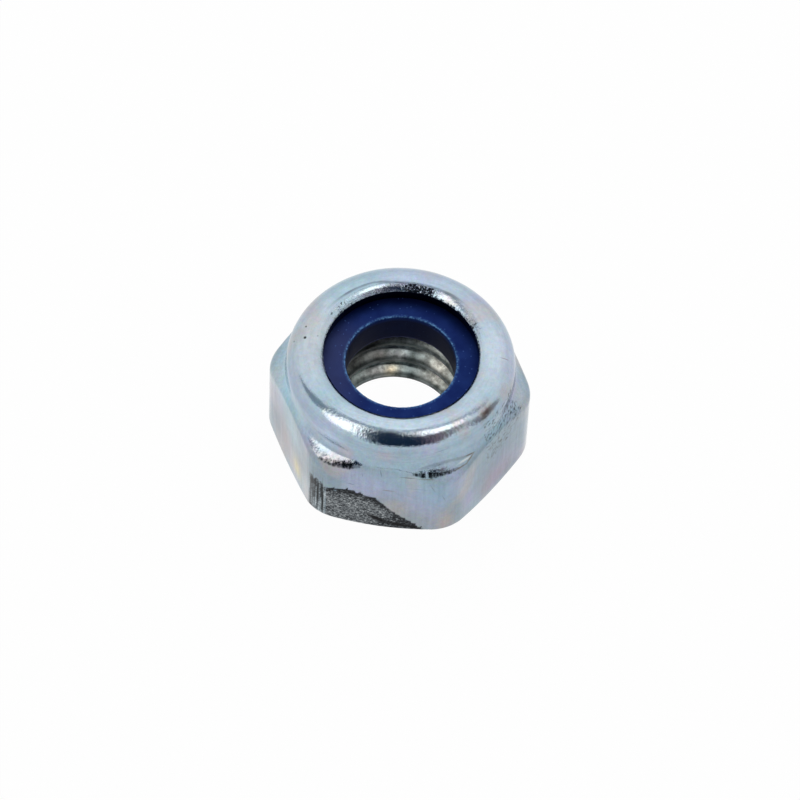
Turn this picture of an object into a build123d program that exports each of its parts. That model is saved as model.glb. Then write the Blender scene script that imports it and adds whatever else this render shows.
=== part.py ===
"""Nylon insert lock nut: a chamfered hexagon with a round collar whose lip is rolled over a nylon ring.

Two pieces: the steel nut body and the nylon ring that it traps. Sizes are in millimetres. The origin is the
centre of the bearing face, +Z runs up the thread axis towards the collar, and two corners of the hexagon lie on
the X axis, so that a pair of flats faces along Y. The bore is modelled at the thread's minor diameter.
"""

import os
from math import cos, radians, tan

from build123d import *

# Hexagon
across_flats = 10.0
corner_radius = 1.5  # the forming die leaves the upright corners well rounded
hexagon_height = 4.45  # up to where the collar leaves the middle of each flat
corner_chamfer_angle = 30.0  # of the crescents at the top corners, from the horizontal
bearing_inset = 0.25  # from the flats in to the rim of the face that turns against the clamped part
bearing_chamfer_angle = 30.0

# Thread, and the cones that open its two ends
thread_diameter = 6.0
thread_depth = 0.475
countersink_margin = 0.15  # past the thread, all round, at the bearing face
countersink_angle = 120.0
relief_margin = 0.05  # past the thread, all round, at the floor of the ring's pocket
relief_angle = 90.0

# Collar, and the lip rolled out of its wall
collar_inset = 0.15  # from the flats in to the foot of the collar
collar_draft_angle = 2.5  # the wall leans inward as it rises
collar_wall = 0.8
shoulder_radius = 0.95
lip_reach = 0.8  # how far the lip covers the ring
lip_thickness = 0.78
lip_nose_radius = 0.42  # the lip's inner rim is rolled well round on top
lip_edge_radius = 0.15  # and less where it bears on the ring
lip_fold_radius = 0.35  # inside the fold, where the lip leaves the collar's wall

# Nylon ring, which fills its pocket
pocket_floor_height = 3.8
ring_thickness = 1.4
ring_bite = 0.68  # how far a bolt's thread cuts into the ring
ring_bore_edge_radius = 0.08  # on the upper edge; the lower one is sharp
ring_clearance = 0.02  # to the pocket's wall and to the lip above

# Heights that follow, from the bearing face up
ring_top = pocket_floor_height + ring_thickness
lip_underside = ring_top + ring_clearance
nut_height = lip_underside + lip_thickness

# Radii that follow, from the thread axis out
thread_radius = thread_diameter / 2
ring_bore_radius = thread_radius - ring_bite
bore_radius = thread_radius - thread_depth
relief_radius = thread_radius + relief_margin
countersink_radius = thread_radius + countersink_margin
bearing_radius = across_flats / 2 - bearing_inset
collar_radius = across_flats / 2 - collar_inset
shoulder_corner_radius = collar_radius - (nut_height - hexagon_height) * tan(radians(collar_draft_angle))
pocket_radius = collar_radius - collar_wall
ring_rim_radius = pocket_radius - ring_clearance
lip_radius = pocket_radius - lip_reach
blank_radius = across_flats / 2 / cos(radians(30))  # out to the hexagon's corners before they are rounded

# Rises of the cones
countersink_depth = (countersink_radius - bore_radius) / tan(radians(countersink_angle / 2))
relief_depth = (relief_radius - bore_radius) / tan(radians(relief_angle / 2))
bearing_chamfer_rise = (blank_radius - bearing_radius) * tan(radians(bearing_chamfer_angle))
corner_chamfer_drop = (blank_radius - collar_radius) * tan(radians(corner_chamfer_angle))


def corner_at(sketch, point):
    """The sketch's corner nearest to a point of its outline."""
    return sketch.vertices().sort_by_distance((*point, 0))[0]


# The nut body is turned first, as a ring with the outline of its section, and then trimmed to the hexagon. The
# collar is a little narrower than the flats, so it stays round.
nut_outline = [
    (bore_radius, countersink_depth),
    (countersink_radius, 0),
    (bearing_radius, 0),
    (blank_radius, bearing_chamfer_rise),
    (blank_radius, hexagon_height - corner_chamfer_drop),
    (collar_radius, hexagon_height),
    (shoulder_corner_radius, nut_height),
    (lip_radius, nut_height),
    (lip_radius, lip_underside),
    (pocket_radius, lip_underside),
    (pocket_radius, pocket_floor_height),
    (relief_radius, pocket_floor_height),
    (bore_radius, pocket_floor_height - relief_depth),
]
with BuildPart() as nut_body:
    with BuildSketch(Plane.XZ) as nut_section:
        with BuildLine():
            Polyline(*nut_outline, close=True)
        make_face()
        fillet(corner_at(nut_section, (shoulder_corner_radius, nut_height)), radius=shoulder_radius)
        fillet(corner_at(nut_section, (lip_radius, nut_height)), radius=lip_nose_radius)
        fillet(corner_at(nut_section, (lip_radius, lip_underside)), radius=lip_edge_radius)
        fillet(corner_at(nut_section, (pocket_radius, lip_underside)), radius=lip_fold_radius)
    revolve(axis=Axis.Z)
    with BuildSketch() as hexagon:
        RegularPolygon(across_flats / 2, 6, major_radius=False)
        fillet(hexagon.vertices(), radius=corner_radius)
    extrude(amount=nut_height, mode=Mode.INTERSECT)
nut_body.part.label = "nut_body"

# The nylon ring is a plain moulded washer. Its top rim is pressed round to the inside of the lip's fold.
ring_outline = [
    (ring_bore_radius, pocket_floor_height),
    (ring_rim_radius, pocket_floor_height),
    (ring_rim_radius, ring_top),
    (ring_bore_radius, ring_top),
]
with BuildPart() as nylon_ring:
    with BuildSketch(Plane.XZ) as ring_section:
        with BuildLine():
            Polyline(*ring_outline, close=True)
        make_face()
        fillet(corner_at(ring_section, (ring_rim_radius, ring_top)), radius=lip_fold_radius - ring_clearance)
        fillet(corner_at(ring_section, (ring_bore_radius, ring_top)), radius=ring_bore_edge_radius)
    revolve(axis=Axis.Z)
nylon_ring.part.label = "nylon_ring"

os.makedirs("parts", exist_ok=True)
for piece in (nut_body.part, nylon_ring.part):
    export_step(piece, f"parts/{piece.label}.step")
    box = piece.bounding_box()
    print(f"{piece.label}: {piece.volume:.2f} mm3, {box.size.X:.2f} x {box.size.Y:.2f} x {box.size.Z:.2f} mm")
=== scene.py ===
# %% [markdown]
# # A nylon insert lock nut
#
# The object is a small steel nut, 10 mm across its flats and 6 mm high, that grips its bolt with a ring of
# blue nylon. Two pieces are made here, the steel body and the nylon ring. The plain solids are loaded first,
# and both pieces are built in the same place, in metres, so nothing has to be fitted later.

# %% Load the plain solids
import math
from functools import partial

import bpy
import numpy as np
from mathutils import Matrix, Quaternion, Vector, noise


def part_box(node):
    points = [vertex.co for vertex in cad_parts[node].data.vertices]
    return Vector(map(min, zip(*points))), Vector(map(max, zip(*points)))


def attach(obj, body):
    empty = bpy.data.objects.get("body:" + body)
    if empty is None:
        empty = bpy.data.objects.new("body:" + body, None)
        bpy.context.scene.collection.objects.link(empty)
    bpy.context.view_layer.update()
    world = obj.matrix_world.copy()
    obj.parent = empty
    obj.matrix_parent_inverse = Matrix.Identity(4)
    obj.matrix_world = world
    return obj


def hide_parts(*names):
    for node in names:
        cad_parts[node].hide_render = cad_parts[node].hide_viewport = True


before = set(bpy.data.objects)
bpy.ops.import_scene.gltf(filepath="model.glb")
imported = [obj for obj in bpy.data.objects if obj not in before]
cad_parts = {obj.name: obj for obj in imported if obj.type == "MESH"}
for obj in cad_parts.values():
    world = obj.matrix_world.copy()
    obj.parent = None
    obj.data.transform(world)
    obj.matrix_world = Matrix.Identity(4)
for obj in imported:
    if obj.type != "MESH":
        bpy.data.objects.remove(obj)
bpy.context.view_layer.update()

print("solids loaded:", sorted(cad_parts))

# %% [markdown]
# ## Sizes
#
# A nut is drawn in millimetres, so the sizes stay in millimetres and one constant turns them into Blender's
# metres. The overall sizes come from the loaded solids. The others describe the section that a saw cut
# through the nut would show.

# %% Sizes of the nut, in millimetres
MM = 0.001

nut_low, nut_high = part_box("nut_body")
ring_low, ring_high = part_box("nylon_ring")
nut_height = nut_high.z / MM
across_flats = (nut_high.y - nut_low.y) / MM
pocket_floor = ring_low.z / MM
ring_top = ring_high.z / MM
ring_rim_radius = ring_high.x / MM

corner_radius = 1.5
hexagon_height = 4.45
chamfer_slope = math.radians(30)
bearing_radius = across_flats / 2 - 0.25
collar_radius = across_flats / 2 - 0.15
collar_draft = math.radians(2.5)
shoulder_radius = 0.95
lip_radius = 3.25
nose_radius = 0.62  # of the broad arc on top of the lip's nose
nose_turn = 50  # degrees that the broad arc turns before the tight one takes over
nose_edge_radius = 0.12  # of the tight arc
lip_edge_radius = 0.15
fold_radius = 0.35
ring_clearance = 0.02
lip_underside = ring_top + ring_clearance
pocket_radius = ring_rim_radius + ring_clearance
thread_radius = 3.0
bore_radius = 2.525
thread_pitch = 1.16
thread_crest = 0.29  # width of the flat on a ridge
thread_flank = math.radians(30)  # half of the V's 60 degrees
relief_radius = thread_radius + 0.05
countersink_radius = thread_radius + 0.15
countersink_wall = math.radians(60)  # half of the cone's 120 degrees
ring_bore_radius = 2.32
print(f"nut {across_flats:.2f} mm across flats and {nut_height:.2f} mm high, ring top at {ring_top:.2f} mm")

# %% [markdown]
# ## The plan of the hexagon
#
# Seen from above, the nut is a hexagon with corners that the forming die has rounded. The body is a grid,
# with a column of points for each direction round the axis and a row for each place along the section, so the
# hexagon is written as a radius that depends on the direction. Each corner is a circle that meets its two
# flats where they are tangent, which keeps the shading smooth.

# %% Radius of the rounded hexagon in each direction
columns = 520
around = np.linspace(0, 2 * math.pi, columns, endpoint=False)
sixth = math.pi / 3


def hexagon_radius(angle):
    """Distance from the axis to the wall, in millimetres. The corners lie on the X axis and each sixth on."""
    from_flat = (angle % sixth) - sixth / 2
    from_corner = sixth / 2 - np.abs(from_flat)
    corner_centre = (across_flats / 2 - corner_radius) / math.cos(sixth / 2)
    flat = (across_flats / 2) / np.cos(from_flat)
    reach = np.sqrt(np.maximum(corner_radius**2 - (corner_centre * np.sin(from_corner)) ** 2, 0))
    corner = corner_centre * np.cos(from_corner) + reach
    tangent = math.atan2(corner_centre * math.sin(sixth / 2), across_flats / 2)
    return np.where(np.abs(from_flat) > tangent, corner, flat)


wall_radius = hexagon_radius(around)
print(f"wall from {wall_radius.min():.3f} to {wall_radius.max():.3f} mm from the axis")

# %% [markdown]
# ## Rows along the section
#
# The section is a chain of straight runs and arcs, and a helper gives the rows of each. A row is a radius and
# a height for every column at once: a number where it is the same all the way round, and an array where it
# follows the hexagon.

# %% Helpers: straight runs and arcs
def straight(start, end, steps):
    """Rows from start up to, but not including, end. Both are (radius, height)."""
    shares = np.arange(steps) / steps
    return [tuple(a + (b - a) * share for a, b in zip(start, end)) for share in shares]


def arc(centre, radius, start_angle, end_angle, steps):
    """Rows on a circle of the section, up to but not including end_angle. In degrees, where 90 is up."""
    angles = np.radians(start_angle + (end_angle - start_angle) * np.arange(steps) / steps)
    return [(centre[0] + radius * math.cos(a), centre[1] + radius * math.sin(a)) for a in angles]


# %% [markdown]
# ## Bearing face and walls
#
# The nut stands on a flat ring, the bearing face. From there a cone of 30 degrees rises to the walls, so that
# no corner digs into the clamped part. The blank is pressed, not cut, so a small arc joins the two. The
# crescents at the top corners are what shows of a second such cone, where the corners reach past the collar.

# %% Bearing face, lower cone and walls
crescent = wall_radius - collar_radius
crescent_share = crescent / crescent.max()
crescent_z = hexagon_height - crescent * math.tan(chamfer_slope)
bearing_rise = (wall_radius - bearing_radius) * math.tan(chamfer_slope)
base_edge = 0.10
wall_foot = bearing_rise + base_edge * math.tan(chamfer_slope)
brow_drop = 0.22 + 0.10 * crescent_share  # from the cone down to where the wall starts to turn in
wall_head = crescent_z - brow_drop
cone_end = (
    wall_radius - base_edge * math.cos(chamfer_slope),
    bearing_rise - base_edge * math.sin(chamfer_slope),
)
rows = []
rows += straight((countersink_radius, 0.0), (bearing_radius, 0.0), 5)
rows += straight((bearing_radius, 0.0), cone_end, 2)
rows += arc((wall_radius - base_edge, wall_foot), base_edge, -60, 0, 3)
wall_start = len(rows)
rows += straight((wall_radius, wall_foot), (wall_radius, wall_head), 22)
print(f"{len(rows)} rows up to the crescents, which are up to {crescent.max():.2f} mm wide")

# %% [markdown]
# ## Crescents
#
# Between the upright wall and the upright collar the surface turns in over the crescent and back up again. A
# cubic Bezier curve with upright handles makes that S in one go, and long handles press its middle down to
# the slope of the cone. The die did not fill the six corners alike, so each corner has its own share of
# handle.

# %% Crescents, up to the foot of the collar
turn_rows = 18
corner_fill = np.array([0.04, 0.10, 0.18, 0.12, 0.25, -0.36])
nearest_corner = np.round(around / sixth).astype(int) % 6
foot_lift = 0.24 + 0.10 * crescent_share  # from the top of the hexagon up to the collar's straight wall
collar_foot_z = hexagon_height + foot_lift
collar_foot = (collar_radius - (collar_foot_z - hexagon_height) * math.tan(collar_draft), collar_foot_z)
handle = (collar_foot_z - wall_head) * (0.42 + corner_fill[nearest_corner] * crescent_share)
curve = (
    (wall_radius, wall_head),
    (wall_radius, wall_head + handle),
    (collar_foot[0] + handle * math.tan(collar_draft), collar_foot_z - handle),
    collar_foot,
)
for share in np.arange(turn_rows) / turn_rows:
    rest = 1 - share
    weights = (rest**3, 3 * rest**2 * share, 3 * rest * share**2, share**3)
    rows.append(tuple(sum(w * place[axis] for w, place in zip(weights, curve)) for axis in (0, 1)))
collar_start = len(rows)
print(f"{collar_start} rows up to the collar")

# %% [markdown]
# ## The collar and its rolled lip
#
# After tapping, the thin wall of the collar is rolled over the nylon ring. That gives the broad shoulder, a
# narrow flat land on top, and a nose that slopes down to the ring: a broad arc and then a tight one, where
# the blank was cut off. The rows go on back under the lip, down the wall of the pocket and in along its
# floor.

# %% Collar and shoulder
shoulder_z = nut_height - shoulder_radius
collar_wall_there = collar_radius - (shoulder_z - hexagon_height) * math.tan(collar_draft)
land_radius = collar_wall_there - shoulder_radius / math.cos(collar_draft)
collar_head = (
    land_radius + shoulder_radius * math.cos(collar_draft),
    shoulder_z + shoulder_radius * math.sin(collar_draft),
)
rows += straight(collar_foot, collar_head, 5)
shoulder_start = len(rows)
rows += arc((land_radius, shoulder_z), shoulder_radius, math.degrees(collar_draft), 90, 20)
print(f"{len(rows)} rows up to the land, {land_radius:.3f} mm from the axis")

# %% Nose of the lip
turned_sine, turned_cosine = math.sin(math.radians(nose_turn)), math.cos(math.radians(nose_turn))
nose_reach = nose_radius * turned_sine + nose_edge_radius * (1 - turned_sine)
nose_centre = (lip_radius + nose_reach, nut_height - nose_radius)
tight_z = nose_centre[1] + (nose_radius - nose_edge_radius) * turned_cosine
tight_centre = (lip_radius + nose_edge_radius, tight_z)
rows += straight((land_radius, nut_height), (nose_centre[0], nut_height), 3)
nose_start = len(rows)
rows += arc(nose_centre, nose_radius, 90, 90 + nose_turn, 10)
rows += arc(tight_centre, nose_edge_radius, 90 + nose_turn, 180, 5)
nose_end = len(rows)
print(f"nose from row {nose_start} to row {nose_end}")

# %% Underside of the lip, and the pocket
edge_centre = (lip_radius + lip_edge_radius, lip_underside + lip_edge_radius)
fold_centre = (pocket_radius - fold_radius, lip_underside - fold_radius)
rows += straight((lip_radius, tight_z), (lip_radius, edge_centre[1]), 3)
rows += arc(edge_centre, lip_edge_radius, 180, 270, 4)
lip_end = len(rows)
rows += straight((edge_centre[0], lip_underside), (fold_centre[0], lip_underside), 2)
rows += arc(fold_centre, fold_radius, 90, 0, 5)
rows += straight((pocket_radius, fold_centre[1]), (pocket_radius, pocket_floor), 2)
rows += straight((pocket_radius, pocket_floor), (relief_radius, pocket_floor), 4)
thread_start = len(rows)
print(f"{thread_start} rows up to the thread")

# %% [markdown]
# ## The thread
#
# A bolt's thread is a V that winds up a right-hand helix, one pitch for each turn. The tap cuts the same V
# into the bore, and a cone opens it at each end, so at each direction and height the bore is as wide as the
# widest of three cutters. The ridges have a flat crest, a quarter of the pitch wide, with edges that the
# plating rounds. Averaging three shifted copies of the groove does that.

# %% Helpers: the groove that the tap leaves
thread_turned = 0.683  # share of a turn that brings the groove's start round
flank_width = (thread_radius - bore_radius) * math.tan(thread_flank)
edge_rounding = 0.09


def above_crest(angle, height):
    """How far a point lies above the middle of the nearest crest, in millimetres. It is negative below."""
    turns = height / thread_pitch - angle / (2 * math.pi) + thread_turned
    return ((turns + 0.5) % 1.0 - 0.5) * thread_pitch


def thread_cut(angle, height):
    """Radius that the tap leaves, in millimetres."""
    from_edge = np.abs(above_crest(angle, height)) - thread_crest / 2
    shifts = (-edge_rounding, 0, edge_rounding)
    groove = sum(np.clip((from_edge + shift) / flank_width, 0, 1) for shift in shifts) / len(shifts)
    return bore_radius + (thread_radius - bore_radius) * groove


# %% Bore with its thread, countersink and relief
thread_rows = 72
for height in np.linspace(pocket_floor, 0, thread_rows, endpoint=False):
    countersink = countersink_radius - height * math.tan(countersink_wall)
    relief = relief_radius - (pocket_floor - height)
    cut = np.maximum(thread_cut(around, height), max(countersink, relief, bore_radius))
    rows.append((cut, np.full(columns, height)))
print(f"{len(rows)} rows in all, {2 * len(rows) * columns} triangles")

# %% [markdown]
# ## From rows to points
#
# Stacking the rows gives one array of points, with an index for the row and one for the column. The surface
# normals come from the steps to the next row and the next column, and are needed to press wear into the
# surface. Smooth noise, read at the points, gives everything that is uneven.

# %% Helpers: grid of points, its normals, and noise on it
def grid_points(section_rows, angles):
    """Points in millimetres, as an array of rows by columns by 3."""
    radius = np.stack([np.broadcast_to(r, angles.shape) for r, _ in section_rows])
    height = np.stack([np.broadcast_to(z, angles.shape) for _, z in section_rows])
    return np.stack([radius * np.cos(angles), radius * np.sin(angles), height], axis=-1)


def grid_normals(points):
    """Unit normals of a grid that closes on itself both ways."""
    along_column = np.roll(points, -1, 1) - np.roll(points, 1, 1)
    along_row = np.roll(points, -1, 0) - np.roll(points, 1, 0)
    normals = np.cross(along_column, along_row)
    return normals / np.maximum(np.linalg.norm(normals, axis=-1, keepdims=True), 1e-12)


def noise_field(points, size, seed):
    """Smooth noise from -1 to 1 at each point. size is the width of its lumps in each direction."""
    flat = (points / np.asarray(size, float)).reshape(-1, 3) + seed
    return np.array([noise.noise(Vector(p)) for p in flat]).reshape(points.shape[:-1])


# %% Grid of the body
body = grid_points(rows, around)
normals = grid_normals(body)
x, y, z = (body[..., axis] for axis in range(3))
direction = np.degrees(np.arctan2(y, x))
print("body grid:", body.shape)

# %% [markdown]
# ## Masks
#
# No pressed nut is perfect. Its marks are small moves along the normals or changes of colour, and each has a
# mask: an array that is 1 where the mark is and 0 elsewhere, with a soft step between. One helper makes masks
# from the number of the row, and one from any other measure, such as a height.

# %% Helpers: masks
row_number = np.arange(len(rows))[:, None] * np.ones(columns)


def row_mask(first, last, fade):
    """1 on the rows from first to last, fading to 0 over that many rows on each side."""
    rise = np.clip((row_number - first) / fade + 1, 0, 1)
    fall = np.clip((last - row_number) / fade + 1, 0, 1)
    return rise * fall


def ramp(values, low, high):
    """0 below low and 1 above high, with a smooth step between. low may be the larger one."""
    share = np.clip((values - low) / (high - low), 0, 1)
    return share * share * (3 - 2 * share)


outside = row_mask(wall_start + 2, lip_end - 4, 3)
walls = row_mask(wall_start, collar_start - 6, 6)
print(f"outside: {(outside[:, 0] > 0).sum()} rows, walls: {(walls[:, 0] > 0).sum()} rows")

# %% [markdown]
# ## Uneven walls and a frayed rim
#
# The outside is slightly wavy, and the die has dragged fine upright lines down the walls. Rolling stretches
# the lip most, so the plating on its nose is crazed in a few patches and frayed along its inner edge. Below
# that edge the far side of the lip is painted dark, as painted shade.

# %% Masks of the rim, and the first moves
rim_patches = (
    # direction and half width in degrees, and strength
    (91, 12, 0.90),
    (146, 16, 0.77),
    (34, 14, 0.78),
    (76, 8, 0.72),
    (-70, 20, 0.50),
    (-165, 14, 0.60),
)
patchy = sum(depth * np.exp(-(((direction - middle) / spread) ** 2)) for middle, spread, depth in rim_patches)
crazed = row_mask(nose_start + 4, lip_end - 2, 3) * np.clip(0.10 + patchy, 0, 1)
frayed = row_mask(nose_start + 9, lip_end - 4, 2) * (0.86 + 0.07 * ramp(x, 0.6, 1.6)) * ramp(y, -0.6, 0.6)
rim_worn = np.maximum(crazed, frayed)
# painted shade under the lip, strongest on the far side
painted_shade_under_lip = row_mask(nose_end - 3, lip_end + 6, 2) * (0.10 + 0.90 * ramp(y, -1.5, 0.3))
broad_waves = 0.006 * noise_field(body, (1.3, 1.3, 0.9), 11.0)
fine_waves = 0.003 * noise_field(body, (0.5, 0.5, 0.5), 3.0)
dragged = noise_field(body, (0.16, 0.16, 3.0), 27.0)
ragged = noise_field(body, (0.20, 0.20, 0.12), 41.0)
inward = 0.004  # keeps the waves inside the plain solid
move = outside * (broad_waves + fine_waves - inward) + 0.0035 * walls * dragged + 0.010 * rim_worn * ragged
print(f"waves and drag lines move points by up to {np.abs(move).max() * 1000:.0f} micrometres")

# %% [markdown]
# ## A torn patch and a scored strip
#
# The bar was sheared to length before it was pressed, and one flat has not filled its die: its lower corner
# is torn, bare and a little sunk, and the strip beside it is scored. The patch's upper edge is a line of
# places on the flat, made ragged by noise. Rust and soot darken it along that edge, in its lower corner and
# in clouds.

# %% Torn patch and scored strip
front_flat = ramp(-y, 4.3, 4.6) * walls
patch_edge = (
    # x and height of places along the patch's upper edge
    (-2.4, 2.47),
    (-1.5, 2.55),
    (-0.9, 2.45),
    (-0.4, 2.25),
    (0.0, 1.88),
    (0.5, 1.32),
    (1.0, 1.02),
    (1.7, 0.40),
)
patch_depth = np.interp(x, *zip(*patch_edge)) - z + 0.24 * ragged
torn = front_flat * ramp(patch_depth, -0.06, 0.10) * ramp(x, -2.43, -2.38)
strip_depth = 2.98 - 0.45 * (x + 3.3) - z + 0.25 * dragged
scored = front_flat * ramp(x, -3.36, -3.20) * ramp(x, -2.38, -2.43) * ramp(strip_depth, -0.05, 0.20)
upper_edge = 1.4 * ramp(patch_depth, 0.46, 0.10) * (0.3 + 0.7 * ramp(x, -2.46, -2.42))
lower_corner = 0.8 * ramp(x, -0.9, 0.1) * ramp(z, 1.15, 0.55)
clouded = 0.4 * ramp(x, -2.30, -2.50) + 0.7 * noise_field(body, (0.5, 0.5, 0.35), 71.0)
sooty = np.clip(upper_edge + lower_corner + clouded, 0, 1.4)
sunk = torn * (0.014 + 0.006 * noise_field(body, (0.15, 0.15, 0.25), 57.0))
move = move - sunk
print(f"the torn patch is sunk by up to {sunk.max() * 1000:.0f} micrometres")

# %% [markdown]
# ## Burrs and flecks
#
# Under some of the crescents the die has pushed up a fine burr with teeth, and dirt stays in it. Its dark
# tone is also painted shade, where the burr's overhang shades the wall. A burr is a short line on the wall,
# so a loop lays each one between two directions, two heights and two widths. Where the nut was dragged over
# others in the drum it has small dark flecks. The material draws those, so here they only get their mask.

# %% Burrs under the crescents, and where the flecks lie
burrs = (
    # directions in degrees, heights, half widths and depths of colour at both ends
    ((-122, -105), (4.11, 4.22), (0.06, 0.19), (0.55, 0.80)),
    ((-107, -101), (4.22, 4.26), (0.19, 0.07), (0.80, 0.55)),
    ((-77, -70), (4.20, 4.17), (0.06, 0.15), (0.55, 0.82)),
    ((-70, -53), (4.17, 4.15), (0.15, 0.06), (0.82, 0.55)),
    ((-95, -82), (4.37, 4.40), (0.03, 0.03), (0.40, 0.45)),
    ((-84, -76), (4.38, 4.27), (0.03, 0.04), (0.42, 0.50)),
    ((48, 66), (4.22, 4.20), (0.05, 0.08), (0.42, 0.55)),
    ((112, 131), (4.24, 4.20), (0.07, 0.04), (0.55, 0.38)),
    ((171, 178), (4.12, 4.10), (0.05, 0.04), (0.36, 0.30)),
    ((4, 12), (4.12, 4.22), (0.04, 0.05), (0.30, 0.38)),
)
burr = np.zeros(body.shape[:2])
for (first, last), heights, widths, depths in burrs:
    share = (direction - first) / (last - first)
    inside = ramp(share, -0.04, 0.10) * ramp(share, 1.04, 0.94)
    middle, width, depth = (a + (b - a) * np.clip(share, 0, 1) for a, b in (heights, widths, depths))
    burr = np.maximum(burr, inside * depth * ramp(np.abs(z - middle), 1.8 * width, 0.3 * width))
burr = burr * outside
teeth = noise_field(body, (0.12, 0.12, 2.0), 19.0)
move = move + burr * (0.008 + 0.014 * teeth)
dragged_side = ramp(direction, -48, -34) * ramp(direction, 4, -10) * outside
fleck = dragged_side * ramp(z, 1.2, 3.0) * ramp(z, 5.75, 5.3) * ramp(z - 0.10 * (direction + 20), 1.0, 3.2)
print(f"{len(burrs)} burrs laid on {(burr > 0).sum()} points")

# %% [markdown]
# ## Press the wear into the body
#
# Moving each point along its normal presses or raises the surface. The nut has to keep its overall size, so
# the points are clipped to the box of the plain solid.

# %% Worn body
body = np.clip(body + normals * move[..., None], np.array(nut_low) / MM, np.array(nut_high) / MM)
print(f"wear moves points by {move.min() * 1000:.0f} to {move.max() * 1000:.0f} micrometres")

# %% [markdown]
# ## The colours of the passivate film
#
# The steel is plated with a few micrometres of zinc and dipped in a blue passivate. Zinc is a pale bluish
# metal, and the clear film on it is so thin that it colours the light like oil on water: cyan, lilac, pink
# and straw, by its thickness. These colours are painted on the points of the mesh, first one for each part
# and then slow clouds. The colours of the parts are partly painted light and shade: the walls darker, the
# collar lighter and the land on top lightest. A hex code is how a colour looks on screen, and shaders work
# with linear light, so one function converts them.

# %% Helpers for colours
def colour(code):
    """Linear RGBA for a hex code such as "#1c2f66"."""
    parts = [int(code[i : i + 2], 16) / 255 for i in (1, 3, 5)]
    return (*[p / 12.92 if p <= 0.04045 else ((p + 0.055) / 1.055) ** 2.4 for p in parts], 1.0)


def laid_over(under, code, amount):
    """A colour laid over others, where amount is an array from 0 to 1."""
    return under + (np.array(colour(code)) - under) * amount[..., None]


# %% Film colours: parts of the nut and slow clouds
# one colour for each part, partly painted shade and light: darker walls, lighter collar and land
film_and_painted_light = np.ones(body.shape[:2] + (4,)) * colour("#8797a2")
film_and_painted_light = laid_over(film_and_painted_light, "#9aaebd", row_mask(collar_start - 8, len(rows), 6))
film_and_painted_light = laid_over(film_and_painted_light, "#abbcca", row_mask(shoulder_start + 9, len(rows), 6))
clouds_of_film = (
    # colour, strength, width of a cloud, seed, and the noise from which it shows
    ("#9ab9c6", 0.55, (1.6, 1.6, 2.6), 31.0, -0.1),
    ("#aaabc8", 0.55, (1.4, 1.4, 2.2), 53.0, 0.0),
    ("#b8a9a4", 0.40, (1.1, 1.1, 1.6), 97.0, 0.08),
)
for code, strength, size, seed, low in clouds_of_film:
    film_and_painted_light = laid_over(film_and_painted_light, code, strength * ramp(noise_field(body, size, seed), low, 0.5))
film_and_painted_light = laid_over(film_and_painted_light, "#bccac9", row_mask(thread_start - 1, len(rows), 1))
print("film has", len(clouds_of_film), "kinds of cloud")

# %% [markdown]
# ## Spots of film colour and of painted light
#
# Where the dip has drained and dried, the colours are strongest. Each such spot is a soft ball of colour with
# a strength, a reach in each direction and a place. Flat balls make streaks. On the shoulder, brown and pale
# patches broken up by noise are a painted reflection with a painted highlight. In the bore, spots are painted
# highlights, brown oil, and painted shade under the ring.

# %% Film colours: spots
def spots_over(under, spots, breaking=1.0):
    """Soft spots laid over the film. breaking is an array that breaks them up."""
    for code, strength, reach, place in spots:
        away = (((body - place) / reach) ** 2).sum(axis=-1)
        under = laid_over(under, code, np.clip(strength * np.exp(-away) * breaking, 0, 1))
    return under


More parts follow.
